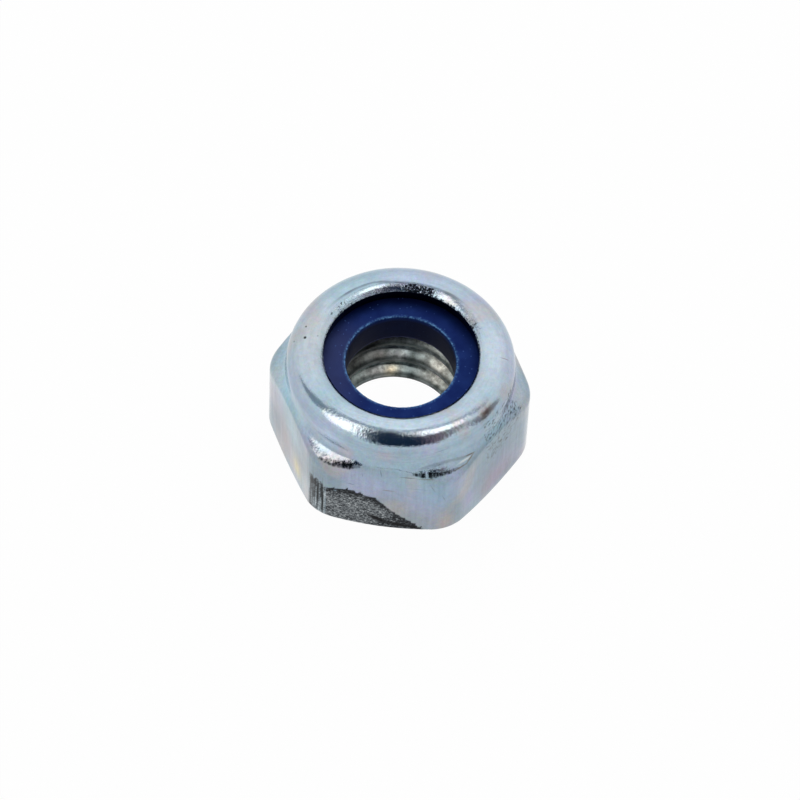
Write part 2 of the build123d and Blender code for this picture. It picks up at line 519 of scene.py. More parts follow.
film_spots = (
    # colour, strength, reach and place in millimetres: land and lip
    ("#a9b8d6", 0.45, (1.8, 0.9, 0.8), (0.0, 3.9, 6.0)),
    ("#b9bdbf", 0.60, (0.8, 1.5, 0.8), (-3.8, 0.2, 6.0)),
    ("#c0cdd9", 0.70, (0.8, 1.4, 0.5), (3.9, 0.5, 5.95)),
    ("#bccdda", 0.80, (1.8, 0.8, 0.4), (0.4, -3.8, 6.0)),
    # left of the collar and the flat below it
    ("#9acbdc", 0.80, (0.6, 1.5, 0.6), (-4.75, -1.3, 4.65)),
    ("#c9a9b9", 0.60, (0.3, 1.0, 0.22), (-4.75, 0.2, 4.95)),
    ("#a9bcc4", 0.60, (0.4, 0.9, 0.5), (-5.3, -0.6, 3.9)),
    ("#9fc0cd", 0.60, (0.6, 0.8, 0.8), (-4.1, -2.8, 3.2)),
    ("#838d9b", 0.80, (0.6, 1.1, 1.2), (-4.9, -1.6, 2.2)),
    ("#a3c0c6", 0.60, (0.6, 0.6, 0.5), (-3.9, -2.9, 4.6)),
    ("#a08c8e", 0.65, (0.6, 0.9, 1.0), (-4.5, -2.2, 1.6)),
    ("#d3c48c", 0.92, (0.35, 0.45, 0.60), (-3.85, -3.35, 1.3)),
    ("#bdb6b4", 0.65, (0.5, 0.5, 1.0), (-3.3, -4.3, 0.9)),
    # front of the collar and the front flat
    ("#95a6b5", 0.75, (1.3, 0.5, 0.45), (0.4, -4.8, 5.15)),
    ("#b6c8dc", 0.80, (0.8, 0.5, 0.45), (-2.4, -4.1, 5.0)),
    ("#b9aab8", 0.45, (0.4, 0.4, 0.3), (0.0, -4.83, 5.1)),
    ("#98a8c2", 0.55, (1.2, 0.6, 0.7), (-0.2, -5.0, 3.4)),
    ("#86a8ba", 0.60, (0.9, 0.6, 1.1), (2.3, -5.0, 3.0)),
    ("#939a9c", 0.60, (1.0, 0.5, 0.7), (1.4, -5.0, 0.9)),
    # right of the collar and the flat below it
    ("#738596", 0.85, (1.0, 2.0, 2.2), (4.4, -2.4, 2.4)),
    ("#93a4b2", 0.60, (0.5, 0.8, 1.6), (5.45, -0.4, 3.0)),
    ("#7d9aa6", 0.60, (0.7, 1.2, 0.8), (4.3, -2.3, 3.5)),
    ("#8a7b8e", 0.75, (0.8, 1.5, 0.8), (4.5, -2.2, 1.0)),
    ("#958fb4", 0.75, (0.3, 0.4, 0.6), (3.55, -3.85, 1.5)),
    ("#b4a394", 0.55, (0.4, 0.4, 0.8), (2.7, -4.85, 0.9)),
    ("#9a97c6", 0.60, (0.3, 0.8, 0.25), (4.8, -0.4, 4.75)),
    # back flats
    ("#bdb19c", 0.35, (1.2, 1.4, 0.9), (1.8, 4.7, 2.0)),
    ("#8fc0cf", 0.50, (1.2, 0.9, 0.9), (-2.4, 4.6, 3.0)),
    ("#b8a4bd", 0.50, (0.9, 0.9, 0.8), (-4.4, 2.6, 1.6)),
    # corners
    ("#b4c0c8", 0.60, (0.4, 0.8, 0.4), (-4.92, -1.14, 4.33)),
    ("#67798a", 0.70, (0.4, 0.6, 0.6), (-5.0, -1.3, 1.7)),
    ("#8d8789", 0.55, (0.5, 0.6, 0.6), (-3.7, -3.6, 1.9)),
    ("#b0c4d2", 0.60, (0.4, 0.4, 0.3), (-3.7, -3.2, 4.55)),
    ("#abb9c4", 0.65, (0.4, 0.7, 0.4), (5.1, -0.3, 4.3)),
    ("#748090", 0.50, (0.6, 0.6, 0.9), (3.9, -3.2, 1.9)),
    ("#7c8f9b", 0.40, (0.3, 0.6, 0.6), (5.3, -0.8, 2.5)),
    # painted shade over the lower part of the left crescent's reflection
    ("#7d8c99", 0.55, (1.0, 0.5, 0.14), (-1.9, -4.65, 4.36)),
)
film_and_painted_light = spots_over(film_and_painted_light, film_spots)
print(len(film_spots), "spots on the outside")

# %% Film colours: painted reflection on the shoulder, and painted light and shade in the bore
painted_shoulder_reflections = (
    # painted reflection of a brown patch, with a painted highlight
    ("#8b7f7c", 0.95, (0.24, 0.46, 0.17), (3.86, -2.42, 5.70)),
    ("#594f50", 0.75, (0.13, 0.22, 0.10), (3.94, -2.36, 5.68)),
    ("#cdd2d8", 0.90, (0.10, 0.12, 0.08), (3.68, -2.66, 5.74)),
    ("#8b979f", 0.70, (0.30, 0.26, 0.10), (3.06, -3.30, 5.77)),
)
mottled = 0.85 + 1.3 * noise_field(body, (0.17, 0.17, 0.17), 83.0)
film_and_painted_light = spots_over(film_and_painted_light, painted_shoulder_reflections, mottled)
bore_spots = (
    # painted shade under the ring and on the left of the top ridge
    ("#07080c", 0.97, (2.6, 2.4, 0.42), (0.0, 2.0, 3.70)),
    ("#08080b", 0.95, (1.0, 1.2, 0.55), (-1.7, 2.1, 3.05)),
    ("#332c28", 0.80, (0.9, 1.2, 0.6), (-2.1, 1.6, 2.35)),
    # painted highlights on the flanks, with a dimmer painted patch and brown oil among them
    ("#f2f4f3", 0.90, (0.30, 0.5, 0.22), (-0.33, 2.75, 1.95)),
    ("#fbeccb", 0.95, (0.36, 0.5, 0.22), (-0.68, 2.65, 0.90)),
    ("#dcdcda", 0.80, (0.40, 0.5, 0.25), (-1.31, 2.46, 0.94)),
    ("#f9fff9", 0.97, (0.50, 0.6, 0.32), (1.42, 2.30, 1.93)),
    ("#dfe6e2", 0.70, (0.40, 0.5, 0.30), (0.85, 2.60, 0.78)),
    ("#5c6664", 0.80, (0.34, 0.5, 1.60), (0.25, 2.65, 1.50)),
    ("#f9fff9", 0.98, (0.56, 0.6, 0.30), (1.24, 2.60, 0.92)),
    ("#6f6058", 0.60, (0.55, 0.5, 0.28), (-1.10, 2.45, 2.12)),
)
film_and_painted_light = spots_over(film_and_painted_light, bore_spots)
print(len(painted_shoulder_reflections), "stains on the shoulder and", len(bore_spots), "spots in the bore")

# %% [markdown]
# ## A painted grey line on the lip
#
# A faint grey line on the far side of the lip is a painted reflection. It wanders over a few rows of the
# grid, so it is given as a row for some directions, with straight runs between them.

# %% Film colours: the painted reflection line on the lip
line_directions = (45, 74, 90, 99, 108, 117, 150)
line_rows = (1.5, 2.7, 3.4, 3.3, 1.8, 0.4, 0.4)
line_row = nose_start + np.interp(direction, line_directions, line_rows)
line_depth = 0.75 + 0.4 * noise_field(body, (0.4, 0.4, 0.4), 7.0)
line_depth = ramp(direction, 42, 66) * ramp(direction, 158, 132) * line_depth
# painted reflection: a faint grey line
film_and_painted_light = laid_over(film_and_painted_light, "#56626e", line_depth * np.exp(-((row_number - line_row) ** 2)))
print(f"line from {line_directions[0]} to {line_directions[-1]} degrees")

# %% [markdown]
# ## Meshes from grids
#
# The grid closes on itself both ways, like the tube of a ring, so each point starts one four-sided face and
# the mesh is watertight. Smooth shading hides the facets, and named attributes carry the masks over to the
# materials.

# %% Helper: make a Blender mesh from a grid
def mesh_from_grid(name, points, masks):
    """A closed mesh. masks maps attribute names to arrays with one value for each point."""
    count_rows, count_columns = points.shape[:2]
    index = np.arange(count_rows * count_columns).reshape(count_rows, count_columns)
    right, above = np.roll(index, -1, 1), np.roll(index, -1, 0)
    faces = np.stack([index, right, np.roll(right, -1, 0), above], axis=-1).reshape(-1, 4)
    mesh = bpy.data.meshes.new(name)
    mesh.from_pydata((points.reshape(-1, 3) * MM).tolist(), [], faces.tolist())
    mesh.shade_smooth()
    for mask_name, values in masks.items():
        attribute = mesh.attributes.new(mask_name, "FLOAT", "POINT")
        numbers = np.broadcast_to(values, points.shape[:2]).astype(np.float32).ravel()
        attribute.data.foreach_set("value", numbers)
    made = bpy.data.objects.new(name, mesh)
    bpy.context.scene.collection.objects.link(made)
    print(f"{name}: {len(mesh.vertices)} points, {2 * len(mesh.polygons)} triangles")
    return made


# %% [markdown]
# ## The body's mesh
#
# Three more masks go with it. The crests of the thread are painted dark, as painted shade, most of all on
# their lower half, which no light from above reaches. On the front of the shoulder the film is crackled into
# short ripples. The length along the section later carries the lines that the rolling tool left.

# %% Mesh of the body
# painted shade on the crests, darkest on their lower half
on_crest = ramp(np.abs(above_crest(around, z)), thread_crest / 2 + 0.14, 0.07)
lower_crest_painted_shade = 0.55 + 0.45 * ramp(above_crest(around, z), 0.12, -0.05)
front_of_shoulder = ramp(direction, -140, -118) * ramp(direction, -25, -50)
row_steps = np.linalg.norm(np.diff(body, axis=0, prepend=body[:1]), axis=-1)
nut_body = mesh_from_grid(
    "zinc_plated_nut_body",
    body,
    {
        "wall": walls,
        "collar": row_mask(collar_start - 4, shoulder_start + 15, 6),
        "rim": rim_worn,
        "under_lip_shade": painted_shade_under_lip,
        "torn": torn,
        "scored": scored,
        "sooty": sooty,
        "burr": burr,
        "fleck": fleck,
        "crest": row_mask(thread_start, len(rows), 1) * on_crest * lower_crest_painted_shade,
        "crackle": row_mask(shoulder_start + 3, shoulder_start + 14, 3) * front_of_shoulder,
        "along_section": np.cumsum(row_steps.mean(axis=1))[:, None],
    },
)
film_attribute = nut_body.data.attributes.new("film_and_painted_light", "FLOAT_COLOR", "POINT")
film_attribute.data.foreach_set("color", film_and_painted_light.astype(np.float32).ravel())

# %% [markdown]
# ## The nylon ring
#
# The ring is a moulded washer, pressed under the lip. It is made in the same way as the body: rows round a
# small section, then a few moves.

# %% Grid of the ring
ring_columns = 480
ring_around = np.linspace(0, 2 * math.pi, ring_columns, endpoint=False)
ring_fold = fold_radius - ring_clearance
bore_edge = 0.08
ring_rows = []
ring_rows += straight((ring_bore_radius, pocket_floor), (ring_rim_radius, pocket_floor), 4)
ring_rows += straight((ring_rim_radius, pocket_floor), (ring_rim_radius, ring_top - ring_fold), 4)
ring_rows += arc((ring_rim_radius - ring_fold, ring_top - ring_fold), ring_fold, 0, 90, 6)
face_start = len(ring_rows)
ring_rows += straight((ring_rim_radius - ring_fold, ring_top), (ring_bore_radius + bore_edge, ring_top), 16)
edge_start = len(ring_rows)
ring_rows += arc((ring_bore_radius + bore_edge, ring_top - bore_edge), bore_edge, 90, 180, 6)
edge_end = len(ring_rows)
ring_rows += straight((ring_bore_radius, ring_top - bore_edge), (ring_bore_radius, pocket_floor), 14)
ring_grid = grid_points(ring_rows, ring_around)
print("ring grid:", ring_grid.shape)

# %% [markdown]
# ## The ring's burr, and painted light and shade on it
#
# The tap has left a thin ragged burr round the edge of the bore. It stands up a few hundredths of a
# millimetre in tufts, and the face between it and the lip is pressed down a little. Two masks carry painted
# light and shade on the nylon: a painted shadow, deeper blue, where it goes under the far side of the lip,
# and a painted lighter side, paler and greyer, on the left.

# %% Mesh of the ring
ring_row_number = np.arange(len(ring_rows))[:, None] * np.ones(ring_columns)
bore_burr = np.clip(1 - np.abs(ring_row_number - (edge_start + 2)) / 3.0, 0, 1)
tufts = np.clip(noise_field(ring_grid, (0.07, 0.07, 0.3), 5.0) + 0.55, 0, 1)
ring_bore = np.clip((ring_row_number - edge_end) / 2, 0, 1)
ring_face = np.clip((ring_row_number - face_start) / 3, 0, 1)
ring_face = ring_face * np.clip((edge_start - ring_row_number) / 3, 0, 1)
pressed = 0.012 * ring_face * (0.5 + noise_field(ring_grid, (1.1, 1.1, 1.1), 8.0))
ring_grid[..., 2] += 0.030 * bore_burr * tufts - np.maximum(pressed, 0)
ring_x, ring_y = ring_grid[..., 0], ring_grid[..., 1]
# painted shadow of the far lip on the face
painted_lip_shadow = ramp(np.hypot(ring_x, ring_y), 2.70, 3.25) * ramp(ring_y, 0.7, 2.6)
# painted light: the left side lighter and greyer
pale = ramp(ring_x, -0.8, -2.8) * ramp(ring_y, 2.4, 0.4)
ring_masks = {"burr": bore_burr * tufts, "bore": ring_bore, "painted_lip_shadow": painted_lip_shadow, "pale": pale}
nylon_ring = mesh_from_grid("blue_nylon_ring", ring_grid, ring_masks)

# %% [markdown]
# ## Nodes
#
# A finish is a graph of nodes, and each node works on what the ones before it give. One function adds a node
# with its settings and its inputs, where an input is either a value or the output of another node. A new
# material comes with that function, tied to its own graph. The coordinates are turned into millimetres first,
# so the scale of a noise is the number of its lumps in one millimetre.

# %% Helpers for nodes
def add_node(tree, kind, inputs=(), output=0, **settings):
    """Add a node and give back one of its outputs. inputs are in order, or by number or name of socket."""
    made = tree.nodes.new("ShaderNode" + kind)
    for name, value in settings.items():
        setattr(made, name, value)
    for socket, value in inputs.items() if isinstance(inputs, dict) else enumerate(inputs):
        if isinstance(value, bpy.types.NodeSocket):
            tree.links.new(value, made.inputs[socket])
        else:
            made.inputs[socket].default_value = value
    return made.outputs[output] if made.outputs else made


def new_material(name):
    """A material without nodes, and the function that adds a node to it."""
    material = bpy.data.materials.new(name)
    material.use_nodes = True
    material.node_tree.nodes.clear()
    return material, partial(add_node, material.node_tree)


def millimetres(add):
    """The place of each point of a piece, in millimetres."""
    place = add("TexCoord", output="Object")
    return add("VectorMath", {0: place, "Scale": 1 / MM}, operation="SCALE")


def scaled_mask(add, name, factor):
    """A mask that the mesh carries, times a factor."""
    mask = add("Attribute", output="Fac", attribute_name=name)
    return add("Math", (mask, factor), operation="MULTIPLY")


def set_stops(colour_ramp, stops):
    """Give a colour ramp its stops, each a position and a hex code."""
    while len(colour_ramp.elements) < len(stops):
        colour_ramp.elements.new(0.5)
    for element, (position, code) in zip(colour_ramp.elements, stops):
        element.position = position
        element.color = colour(code)


# %% [markdown]
# ## Zinc plating with a blue passivate
#
# Zinc is a metal, so all its colour comes from what it reflects. Faint streaks lie in it. On the walls they
# stand upright, as the die dragged them, so the noise there is stretched along the axis. On the collar they
# run round, as the rolling tool left them: there the noise is read at the direction from the axis, slowly,
# and at the length along the section, fast.

# %% Material: blue-passivated zinc, its streaks
zinc, add = new_material("zinc_plated_steel_blue_passivate")
mm = millimetres(add)
upright = add("Mapping", {"Vector": mm, "Scale": (1.0, 1.0, 0.06)})
upright_streaks = add("TexNoise", {"Vector": upright, "Scale": 8.0, "Detail": 3.0, "Roughness": 0.6})
flat_place = add("VectorMath", (mm, (1.0, 1.0, 0.0)), operation="MULTIPLY")
outward = add("VectorMath", (flat_place,), operation="NORMALIZE")
slow_turn = add("VectorMath", {0: outward, "Scale": 2.2}, operation="SCALE")
along = add("Attribute", output="Fac", attribute_name="along_section")
rolled = add("CombineXYZ", {"Z": along})
round_place = add("VectorMath", (slow_turn, rolled), operation="ADD")
round_scale = add("Mapping", {"Vector": round_place, "Scale": (1.0, 1.0, 5.0)})
round_streaks = add("TexNoise", {"Vector": round_scale, "Scale": 1.6, "Detail": 5.0, "Roughness": 0.7})
wall_mask = add("Attribute", output="Fac", attribute_name="wall")
streaks = add("Mix", {0: wall_mask, 2: round_streaks, 3: upright_streaks}, data_type="FLOAT")
print("streaks:", len(zinc.node_tree.nodes), "nodes")

# %% [markdown]
# ## The film's colour
#
# The colours of the film are on the points of the mesh already. A fine noise tints them a little, up and down
# in each of red, green and blue. Clouds, where the zinc crystals are finer or coarser, and the streaks then
# make the whole lighter or darker by up to a tenth.

# %% Material: blue-passivated zinc, its colour
film_paint = add("Attribute", output="Color", attribute_name="film_and_painted_light")
tints = add("TexNoise", {"Vector": mm, "Scale": 5.0, "Detail": 5.0, "Roughness": 0.8}, output="Color")
tint_range = (tints, (0.62, 0.46, 0.62), (0.69, 0.77, 0.69))
tinted = add("VectorMath", tint_range, operation="MULTIPLY_ADD")
film_tinted = add("VectorMath", (film_paint, tinted), operation="MULTIPLY")
clouds = add("TexNoise", {"Vector": mm, "Scale": 2.4, "Detail": 6.0, "Roughness": 0.7})
shades = add("Math", (clouds, streaks), operation="ADD")
shade = add("MapRange", (shades, 0.75, 1.25, 0.90, 1.08))
zinc_colour = add("VectorMath", {0: film_tinted, "Scale": shade}, operation="SCALE")
print("zinc colour:", len(zinc.node_tree.nodes), "nodes")

# %% [markdown]
# ## Grain, torn steel and scored steel
#
# Real dirt sits in the grain, so three grains are made for breaking up its edges. The true grain of torn
# steel, about 0.03 mm, is too fine to show at this size, so it is drawn at about 0.08 mm. Torn and scored
# steel have a whole scale of tones, from soot to bare metal, picked by their grain. Where it is sooty, the
# grain reads darker.

# %% Material: blue-passivated zinc, patterns for its worn places
grain = add("TexNoise", {"Vector": mm, "Scale": 12.0, "Detail": 5.0, "Roughness": 0.7})
rim_grain = add("TexNoise", {"Vector": mm, "Scale": 12.0, "Detail": 3.0, "Roughness": 0.65})
tear = add("Mapping", {"Vector": mm, "Scale": (0.6, 0.6, 1.0)})
tear_grain = add("TexNoise", {"Vector": tear, "Scale": 14.0, "Detail": 5.0, "Roughness": 0.8})
half_streaks = add("Mix", {0: 0.5, 2: tear_grain, 3: upright_streaks}, data_type="FLOAT")
soot = scaled_mask(add, "sooty", -0.09)
tones = []
for pattern, stops in (
    (tear_grain, ((0.37, "#0a0c10"), (0.45, "#383d42"), (0.53, "#7a8084"), (0.64, "#bfc4c6"))),
    (half_streaks, ((0.40, "#12171a"), (0.455, "#59636a"), (0.51, "#8d989d"), (0.60, "#bcc6ca"))),
):
    stained = add("Math", (pattern, soot), operation="ADD")
    tones.append(add("ValToRGB", (stained,)))
    set_stops(tones[-1].node.color_ramp, stops)
torn_tone, scored_tone = tones
print("zinc with its patterns:", len(zinc.node_tree.nodes), "nodes")

# %% [markdown]
# ## Dirt and bare steel
#
# The masks on the mesh say where the plating is torn, scored, burred or dirty, and where shade is painted:
# under the burrs and under the lip. Each place gets its own tone, laid over the zinc in turn. The tone shows
# where the sum of the mask and a pattern is high, so the pattern breaks up the edge of the mask.

# %% Material: blue-passivated zinc, its worn places
layers = (
    # mask, pattern, the sum of both at which the tone starts and is full, and the tone
    ("torn", tear_grain, 0.90, 1.30, torn_tone),
    ("scored", upright_streaks, 0.80, 1.30, scored_tone),
    # dirt, and painted shade under the burr
    ("burr", upright_streaks, 0.86, 1.27, colour("#10141a")),
    # painted shade under the lip
    ("under_lip_shade", grain, 0.85, 1.15, colour("#131a2e")),
    ("rim", rim_grain, 1.38, 1.48, colour("#151b28")),
)
for mask_name, pattern, low, high, tone in layers:
    mask = add("Attribute", output="Fac", attribute_name=mask_name)
    broken = add("Math", (mask, pattern), operation="ADD")
    amount = add("MapRange", (broken, low, high, 0.0, 1.0))
    here = add("Math", (mask, 0.02), operation="GREATER_THAN")
    laid = add("Math", (amount, here), operation="MULTIPLY")
    zinc_colour = add("Mix", {0: laid, 6: zinc_colour, 7: tone}, output=2, data_type="RGBA")
print("zinc with its worn places:", len(zinc.node_tree.nodes), "nodes")

# %% [markdown]
# ## Scratches, pits and painted light
#
# A scratch is finer than the mesh, so the material draws it, as a long thin ellipsoid round the line from its
# start to its end. A mapping node turns and squeezes the space so that the ellipsoid becomes a ball of radius
# 1, and the length of the new vector says how far inside a point is. A pit is a scratch about as short as it
# is wide. The grain is added to that length, which makes all edges ragged. The same shapes draw a painted
# highlight and painted reflection on the right crescent, and painted shade in the deep holes at the foot of
# the torn patch.

# %% Material: blue-passivated zinc, its scratches, pits and painted light
scratches_and_painted_light = (
    # start and end in millimetres, half width in millimetres, colour, depth of colour: pits on the land
    ((-4.09, 0.03, 5.97), (-4.08, 0.05, 5.97), 0.055, "#0c0f14", 1.0),
    ((-4.13, 0.62, 5.95), (-4.13, 0.64, 5.95), 0.035, "#0c0f14", 0.9),
    ((-3.57, 0.21, 5.99), (-3.55, 0.23, 5.99), 0.030, "#2a3038", 0.8),
    ((-4.53, -0.07, 5.73), (-4.53, -0.05, 5.73), 0.030, "#2a3038", 0.8),
    # the scored strip
    ((-2.98, -4.62, 2.75), (-2.99, -4.62, 0.35), 0.045, "#1c2226", 0.9),
    ((-2.55, -4.90, 2.50), (-2.53, -4.92, 0.30), 0.050, "#14181c", 1.0),
    ((-2.72, -4.80, 2.40), (-2.70, -4.80, 0.60), 0.030, "#2c3338", 0.6),
    ((-2.41, -4.97, 2.35), (-2.39, -4.97, 0.90), 0.022, "#a3a9ab", 0.7),
    # the edge of the torn patch, and the deep holes at its foot, painted dark as painted shade
    ((-2.34, -5.0, 2.44), (-1.45, -5.0, 2.50), 0.070, "#0d1015", 0.90),
    ((-1.55, -5.0, 2.50), (-0.35, -5.0, 2.14), 0.060, "#12161c", 0.75),
    ((-0.45, -5.0, 2.20), (0.55, -5.0, 1.22), 0.060, "#171b22", 0.70),
    ((0.50, -5.0, 1.26), (1.60, -5.0, 0.45), 0.055, "#1c2028", 0.7),
    ((-0.46, -5.0, 0.86), (0.10, -5.0, 0.56), 0.150, "#07090c", 1.0),
    ((0.36, -5.0, 0.52), (0.95, -5.0, 0.45), 0.120, "#07090c", 1.0),
    ((1.15, -5.0, 0.44), (1.60, -5.0, 0.40), 0.100, "#0a0c10", 1.0),
    # the crescent on the right of the front flat: a painted highlight, painted reflection and brown outlines
    ((3.06, -4.12, 4.29), (3.44, -3.72, 4.30), 0.050, "#dcdfdc", 0.55),
    ((1.50, -4.75, 4.40), (1.81, -4.61, 4.48), 0.070, "#7c8b98", 0.6),
    ((1.81, -4.61, 4.48), (2.52, -4.27, 4.52), 0.095, "#7a8a98", 0.65),
    ((2.52, -4.27, 4.52), (3.27, -3.82, 4.39), 0.080, "#7c858c", 0.65),
    ((3.27, -3.82, 4.41), (3.57, -3.53, 4.35), 0.034, "#6f6860", 0.9),
    ((2.90, -4.40, 4.12), (3.34, -3.99, 4.15), 0.030, "#6f6860", 0.9),
    ((3.34, -3.99, 4.15), (3.57, -3.56, 4.33), 0.030, "#77705f", 0.9),
    # the front flat
    ((0.75, -5.0, 3.97), (1.30, -5.0, 4.00), 0.030, "#5d6063", 0.8),
    ((1.45, -5.0, 4.00), (2.33, -4.90, 4.00), 0.026, "#757268", 0.7),
    ((0.03, -5.0, 2.86), (0.45, -5.0, 2.88), 0.030, "#7a6f66", 0.7),
    ((-1.46, -5.0, 3.03), (-1.24, -5.0, 3.00), 0.030, "#6a7580", 0.7),
    ((-0.95, -4.88, 4.38), (-0.88, -5.0, 3.70), 0.024, "#66757f", 0.7),
    ((-0.14, -4.98, 4.26), (-0.08, -5.0, 3.85), 0.026, "#66757f", 0.7),
    ((1.98, -5.0, 3.68), (2.20, -4.98, 3.20), 0.024, "#71808c", 0.6),
    ((2.50, -4.92, 2.90), (2.66, -4.87, 2.45), 0.024, "#71808c", 0.6),
    # the shoulder, the collar and one more on the front flat
    ((4.14, 0.32, 5.96), (4.49, 0.38, 5.77), 0.022, "#8a6a66", 0.7),
    ((4.86, -0.70, 5.05), (4.79, -1.45, 4.62), 0.022, "#5b5f8c", 0.8),
    ((4.79, -1.40, 4.60), (4.72, -1.85, 4.20), 0.022, "#6c719c", 0.6),
    ((-3.17, 1.44, 5.96), (-3.15, 1.50, 5.96), 0.045, "#30363c", 0.8),
    ((1.95, -4.40, 5.15), (2.60, -4.08, 5.20), 0.018, "#6e7c8c", 0.5),
    ((-0.60, -4.81, 5.02), (0.80, -4.79, 5.06), 0.016, "#748291", 0.5),
    ((0.90, -5.0, 3.20), (1.90, -5.0, 3.28), 0.018, "#6f7f8f", 0.5),
)
for start, end, half_width, code, depth in scratches_and_painted_light:
    reach = Vector(end) - Vector(start)
    ellipsoid = {
        "Vector": mm,
        "Location": (Vector(start) + Vector(end)) / 2,
        "Rotation": reach.to_track_quat("X", "Z").to_euler(),
        "Scale": (reach.length / 2 + half_width, half_width, half_width),
    }
    squeezed = add("Mapping", ellipsoid, vector_type="TEXTURE")
    far = add("VectorMath", (squeezed,), output="Value", operation="LENGTH")
    ragged_edge = add("Math", (grain, far), operation="ADD")
    inside = add("MapRange", (ragged_edge, 1.0, 1.9, depth, 0.0))
    scratched = {0: inside, 6: zinc_colour, 7: colour(code)}
    zinc_colour = add("Mix", scratched, output=2, data_type="RGBA")
print("zinc with its scratches:", len(zinc.node_tree.nodes), "nodes")

# %% [markdown]
# ## Flecks
#
# In the drum the nut was dragged over other nuts. That has left many small flecks on one side of the collar
# and on the flat below it, all drawn out the same way. One noise makes them: a mapping node stretches it
# along that way, and only its highest lumps show.

# %% Material: blue-passivated zinc, its flecks
dragged_way = Vector((0.66, 1.80, 0.97)).to_track_quat("X", "Z").to_euler()
fleck_shape = {"Vector": mm, "Rotation": dragged_way, "Scale": (1.9, 0.8, 0.8)}
fleck_place = add("Mapping", fleck_shape, vector_type="TEXTURE")
flecks = add("TexNoise", {"Vector": fleck_place, "Scale": 10.0, "Detail": 3.0, "Roughness": 0.6})
fleck_mask = add("Attribute", output="Fac", attribute_name="fleck")
fleck_sum = add("Math", (flecks, fleck_mask), operation="ADD")
fleck_amount = add("MapRange", (fleck_sum, 1.50, 1.62, 0.0, 0.80))
flecked = {0: fleck_amount, 6: zinc_colour, 7: colour("#262b31")}
zinc_colour = add("Mix", flecked, output=2, data_type="RGBA")
print("zinc with its flecks:", len(zinc.node_tree.nodes), "nodes")

# %% [markdown]
# ## Relief and gloss of the zinc
#
# The plating is bright but not polished: it follows the grain of the steel, so reflections have soft,
# slightly grainy edges. Several heights are added up and read as bump: fine grain everywhere, deep grain on
# the rolled rim and the torn patch, and streaks on the walls and round the collar. Torn steel is dull, which
# is a high roughness.

# %% Material: blue-passivated zinc, its relief
relief = add("Math", (grain, 0.0034), operation="MULTIPLY")
for mask_name, pattern, height in (
    # mask, pattern, and height in millimetres
    ("collar", round_streaks, 0.0034),
    ("rim", rim_grain, 0.020),
    ("crackle", upright_streaks, 0.011),
    ("torn", tear_grain, 0.008),
    ("wall", upright_streaks, 0.006),
    ("burr", upright_streaks, 0.014),
):
    mask = add("Attribute", output="Fac", attribute_name=mask_name)
    level = add("Math", (pattern, height), operation="MULTIPLY")
    masked = add("Math", (level, mask), operation="MULTIPLY")
    relief = add("Math", (relief, masked), operation="ADD")
relief_bump = add("Bump", {"Height": relief, "Distance": MM, "Strength": 1.0})
bright = add("MapRange", (grain, 0.3, 0.7, 0.08, 0.15))
dull = scaled_mask(add, "torn", 0.35)
roughness = add("Math", (bright, dull), operation="ADD")
metal = {"Base Color": zinc_colour, "Metallic": 1.0, "Roughness": roughness, "Normal": relief_bump}
add("OutputMaterial", {"Surface": add("BsdfPrincipled", metal)})
print("zinc in all:", len(zinc.node_tree.nodes), "nodes")

# %% [markdown]
# ## The tapped thread
#
# The thread is tapped before plating, and the zinc is thin down there. The flanks are bright, with painted
# highlights and brown oil smeared over them, and the crests are painted dark, as painted shade. It is the
# same metal under oil and painted light and shade, so the faces of the thread get a material of their own.

# %% Material: oily tapped thread
threaded, add = new_material("tapped_thread_oiled_zinc")
mm = millimetres(add)
bore_paint = add("Attribute", output="Color", attribute_name="film_and_painted_light")
smears = add("TexNoise", {"Vector": mm, "Scale": 3.0, "Detail": 5.0, "Roughness": 0.65})
smear_shade = add("MapRange", (smears, 0.38, 0.60, 0.46, 1.20))
oiled = add("VectorMath", {0: bore_paint, "Scale": smear_shade}, operation="SCALE")
# painted shade: the crests darkened almost to black
crest_painted_shade_tone = add("VectorMath", (oiled, (0.022, 0.030, 0.033)), operation="MULTIPLY")
crest_painted_shade_amount = scaled_mask(add, "crest", 0.95)
crest_painted_shade = {0: crest_painted_shade_amount, 6: oiled, 7: crest_painted_shade_tone}
thread_colour = add("Mix", crest_painted_shade, output=2, data_type="RGBA")
chatter = add("TexNoise", {"Vector": mm, "Scale": 7.0, "Detail": 4.0, "Roughness": 0.65})
chatter_bump = add("Bump", {"Height": chatter, "Distance": 0.006 * MM, "Strength": 1.0})
oily = {"Base Color": thread_colour, "Metallic": 1.0, "Roughness": 0.50, "Normal": chatter_bump}
add("OutputMaterial", {"Surface": add("BsdfPrincipled", oily)})
print("thread:", len(threaded.node_tree.nodes), "nodes")

# %% [markdown]
# ## Which faces are thread
#
# The body has one mesh and two materials. Faces come row by row in the mesh, so the number of a face tells
# its row, and all rows from the start of the thread on get the second material.

# %% Materials of the body
nut_body.data.materials.append(zinc)
nut_body.data.materials.append(threaded)
in_thread = np.repeat(np.arange(len(rows)), columns) >= thread_start
nut_body.data.polygons.foreach_set("material_index", in_thread.astype(np.int32))
print("thread faces:", in_thread.sum())

# %% [markdown]
# ## Blue nylon
#
# The insert is polyamide coloured deep blue in the mould. Moulded nylon is satin, with a soft gloss. Pale
# specks of dust and swarf cling to it, and its burr is so thin that it looks light blue. Its bore is painted
# almost black, as painted shade, and the face gets a painted shadow under the far lip and a painted lighter
# left side. Each of these is an amount, from a mask or a pattern, and a colour. A loop lays them over the
# plastic.

# %% Material: moulded blue nylon, amounts
nylon, add = new_material("moulded_blue_nylon")
mm = millimetres(add)
amounts = {}
